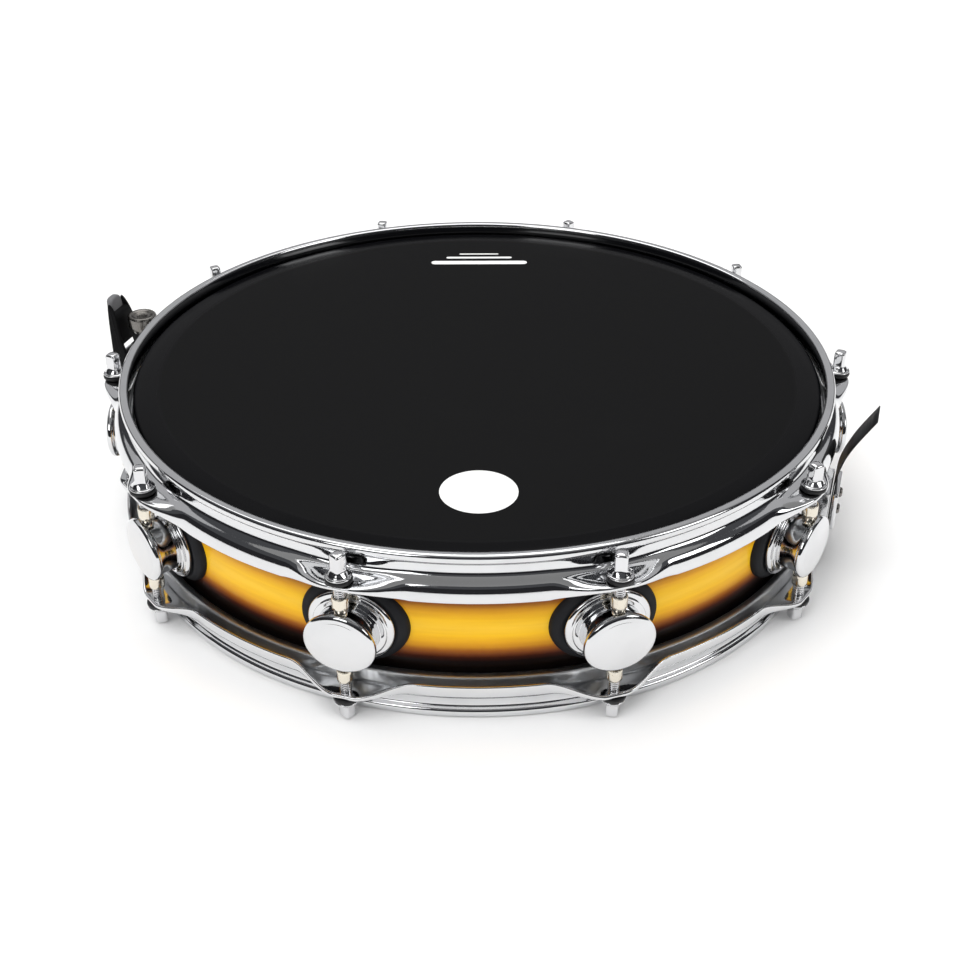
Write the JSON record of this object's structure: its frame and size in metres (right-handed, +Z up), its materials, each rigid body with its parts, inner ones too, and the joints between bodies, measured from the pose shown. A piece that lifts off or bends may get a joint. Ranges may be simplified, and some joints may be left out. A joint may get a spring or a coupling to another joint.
{
  "type": "snare drum",
  "caption": "Shallow snare drum with a burst-lacquered shell, chrome triple-flanged hoops, round standoff tube lugs, snare wires, and a lever throw-off.",
  "frame": {"origin": "on the drum's axis at the crown of the lower hoop, the plane it stands on", "axes": "+Z up along the drum's axis, out of the playing face; +X right and -Y towards the viewer, between two lugs; the throw-off is on the -X side and the butt end on the +X side"},
  "size_m": [0.4132, 0.3848, 0.0925],
  "materials": {
    "lacquered_shell": "gloss amber lacquer shading to dark brown and black at the edges",
    "chrome_fittings": "bright chrome plating",
    "chrome_hoops": "bright chrome plating",
    "rod_steel": "bright chrome plating",
    "black_film": "satin black film",
    "clear_film": "clear hazy film",
    "hoop_channel": "satin rolled channel",
    "rubber_gasket": "matt black rubber",
    "slide_steel": "brushed",
    "dark_nickel": "dark nickel plating",
    "lever_black": "satin black",
    "strap_film": "smooth black film",
    "wire_steel": "bright coiled wire"
  },
  "bodies": {
    "drum_body": {"shell": "lacquered_shell", "air_vent": "chrome_fittings", "batter_head": "black_film", "batter_head_collar": "black_film", "snare_head": "clear_film", "snare_head_collar": "clear_film", "batter_flesh_hoop": "hoop_channel", "snare_flesh_hoop": "hoop_channel", "batter_hoop": "chrome_hoops", "snare_hoop": "chrome_hoops", "lug_01": "chrome_fittings", "lug_02": "chrome_fittings", "lug_03": "chrome_fittings", "lug_04": "chrome_fittings", "lug_05": "chrome_fittings", "lug_06": "chrome_fittings", "lug_07": "chrome_fittings", "lug_08": "chrome_fittings", "lug_09": "chrome_fittings", "lug_10": "chrome_fittings", "lug_gasket_01": "rubber_gasket", "lug_gasket_02": "rubber_gasket", "lug_gasket_03": "rubber_gasket", "lug_gasket_04": "rubber_gasket", "lug_gasket_05": "rubber_gasket", "lug_gasket_06": "rubber_gasket", "lug_gasket_07": "rubber_gasket", "lug_gasket_08": "rubber_gasket", "lug_gasket_09": "rubber_gasket", "lug_gasket_10": "rubber_gasket", "strainer_body": "chrome_fittings", "butt_body": "chrome_fittings", "butt_clamp_plate": "chrome_fittings", "snare_strap_butt": "strap_film", "snare_strap_strainer": "strap_film"},
    "throw_off_lever": {"strainer_lever": "lever_black"},
    "throw_off_slide": {"strainer_slide": "slide_steel", "strainer_clamp_plate": "chrome_fittings"},
    "tension_knob": {"strainer_tension_knob": "dark_nickel"},
    "snare_wire_set": {"snare_wires": "wire_steel"},
    "rod_batter_01": {"tension_rod_batter_01": "rod_steel"},
    "rod_batter_02": {"tension_rod_batter_02": "rod_steel"},
    "rod_batter_03": {"tension_rod_batter_03": "rod_steel"},
    "rod_batter_04": {"tension_rod_batter_04": "rod_steel"},
    "rod_batter_05": {"tension_rod_batter_05": "rod_steel"},
    "rod_batter_06": {"tension_rod_batter_06": "rod_steel"},
    "rod_batter_07": {"tension_rod_batter_07": "rod_steel"},
    "rod_batter_08": {"tension_rod_batter_08": "rod_steel"},
    "rod_batter_09": {"tension_rod_batter_09": "rod_steel"},
    "rod_batter_10": {"tension_rod_batter_10": "rod_steel"},
    "rod_snare_01": {"tension_rod_snare_01": "rod_steel"},
    "rod_snare_02": {"tension_rod_snare_02": "rod_steel"},
    "rod_snare_03": {"tension_rod_snare_03": "rod_steel"},
    "rod_snare_04": {"tension_rod_snare_04": "rod_steel"},
    "rod_snare_05": {"tension_rod_snare_05": "rod_steel"},
    "rod_snare_06": {"tension_rod_snare_06": "rod_steel"},
    "rod_snare_07": {"tension_rod_snare_07": "rod_steel"},
    "rod_snare_08": {"tension_rod_snare_08": "rod_steel"},
    "rod_snare_09": {"tension_rod_snare_09": "rod_steel"},
    "rod_snare_10": {"tension_rod_snare_10": "rod_steel"}
  },
  "joints": [
    {"name": "throw_off_lever_pivot", "type": "hinge", "parent": "drum_body", "child": "throw_off_lever", "pos_m": [-0.19599, 0.06368, 0.047], "axis": [-0.309, -0.9511, 0], "range_deg": [0, 95]},
    {"name": "throw_off_slide_travel", "type": "slide", "parent": "drum_body", "child": "throw_off_slide", "axis": [0, 0, -1], "range_m": [0, 0.006], "deforming": ["snare_strap_strainer"]},
    {"name": "snare_wire_drop", "type": "hinge", "parent": "drum_body", "child": "snare_wire_set", "pos_m": [0.14361, -0.04666, 0.003], "axis": [-0.309, -0.9511, 0], "range_deg": [0, 0.4]},
    {"name": "strainer_tension_screw", "type": "hinge", "parent": "throw_off_slide", "child": "tension_knob", "pos_m": [-0.18926, 0.06149, 0.077], "axis": [0, 0, 1], "continuous": true},
    {"name": "tension_rod_batter_01_turn", "type": "hinge", "parent": "drum_body", "child": "rod_batter_01", "pos_m": [0.05933, -0.1826, 0.082], "axis": [0, 0, 1], "continuous": true},
    {"name": "tension_rod_batter_02_turn", "type": "hinge", "parent": "drum_body", "child": "rod_batter_02", "pos_m": [0.15533, -0.11285, 0.082], "axis": [0, 0, 1], "continuous": true},
    {"name": "tension_rod_batter_03_turn", "type": "hinge", "parent": "drum_body", "child": "rod_batter_03", "pos_m": [0.192, 0, 0.082], "axis": [0, 0, 1], "continuous": true},
    {"name": "tension_rod_batter_04_turn", "type": "hinge", "parent": "drum_body", "child": "rod_batter_04", "pos_m": [0.15533, 0.11285, 0.082], "axis": [0, 0, 1], "continuous": true},
    {"name": "tension_rod_batter_05_turn", "type": "hinge", "parent": "drum_body", "child": "rod_batter_05", "pos_m": [0.05933, 0.1826, 0.082], "axis": [0, 0, 1], "continuous": true},
    {"name": "tension_rod_batter_06_turn", "type": "hinge", "parent": "drum_body", "child": "rod_batter_06", "pos_m": [-0.05933, 0.1826, 0.082], "axis": [0, 0, 1], "continuous": true},
    {"name": "tension_rod_batter_07_turn", "type": "hinge", "parent": "drum_body", "child": "rod_batter_07", "pos_m": [-0.15533, 0.11285, 0.082], "axis": [0, 0, 1], "continuous": true},
    {"name": "tension_rod_batter_08_turn", "type": "hinge", "parent": "drum_body", "child": "rod_batter_08", "pos_m": [-0.192, 0, 0.082], "axis": [0, 0, 1], "continuous": true},
    {"name": "tension_rod_batter_09_turn", "type": "hinge", "parent": "drum_body", "child": "rod_batter_09", "pos_m": [-0.15533, -0.11285, 0.082], "axis": [0, 0, 1], "continuous": true},
    {"name": "tension_rod_batter_10_turn", "type": "hinge", "parent": "drum_body", "child": "rod_batter_10", "pos_m": [-0.05933, -0.1826, 0.082], "axis": [0, 0, 1], "continuous": true},
    {"name": "tension_rod_snare_01_turn", "type": "hinge", "parent": "drum_body", "child": "rod_snare_01", "pos_m": [0.05933, -0.1826, 0.0065], "axis": [0, 0, 1], "continuous": true},
    {"name": "tension_rod_snare_02_turn", "type": "hinge", "parent": "drum_body", "child": "rod_snare_02", "pos_m": [0.15533, -0.11285, 0.0065], "axis": [0, 0, 1], "continuous": true},
    {"name": "tension_rod_snare_03_turn", "type": "hinge", "parent": "drum_body", "child": "rod_snare_03", "pos_m": [0.192, 0, 0.0065], "axis": [0, 0, 1], "continuous": true},
    {"name": "tension_rod_snare_04_turn", "type": "hinge", "parent": "drum_body", "child": "rod_snare_04", "pos_m": [0.15533, 0.11285, 0.0065], "axis": [0, 0, 1], "continuous": true},
    {"name": "tension_rod_snare_05_turn", "type": "hinge", "parent": "drum_body", "child": "rod_snare_05", "pos_m": [0.05933, 0.1826, 0.0065], "axis": [0, 0, 1], "continuous": true},
    {"name": "tension_rod_snare_06_turn", "type": "hinge", "parent": "drum_body", "child": "rod_snare_06", "pos_m": [-0.05933, 0.1826, 0.0065], "axis": [0, 0, 1], "continuous": true},
    {"name": "tension_rod_snare_07_turn", "type": "hinge", "parent": "drum_body", "child": "rod_snare_07", "pos_m": [-0.15533, 0.11285, 0.0065], "axis": [0, 0, 1], "continuous": true},
    {"name": "tension_rod_snare_08_turn", "type": "hinge", "parent": "drum_body", "child": "rod_snare_08", "pos_m": [-0.192, 0, 0.0065], "axis": [0, 0, 1], "continuous": true},
    {"name": "tension_rod_snare_09_turn", "type": "hinge", "parent": "drum_body", "child": "rod_snare_09", "pos_m": [-0.15533, -0.11285, 0.0065], "axis": [0, 0, 1], "continuous": true},
    {"name": "tension_rod_snare_10_turn", "type": "hinge", "parent": "drum_body", "child": "rod_snare_10", "pos_m": [-0.05933, -0.1826, 0.0065], "axis": [0, 0, 1], "continuous": true}
  ],
  "couplings": [
    {"joint": "throw_off_slide_travel", "follows": "throw_off_lever_pivot", "m_per_rad": 0.003618},
    {"joint": "snare_wire_drop", "follows": "throw_off_lever_pivot", "ratio": 0.00421}
  ]
}
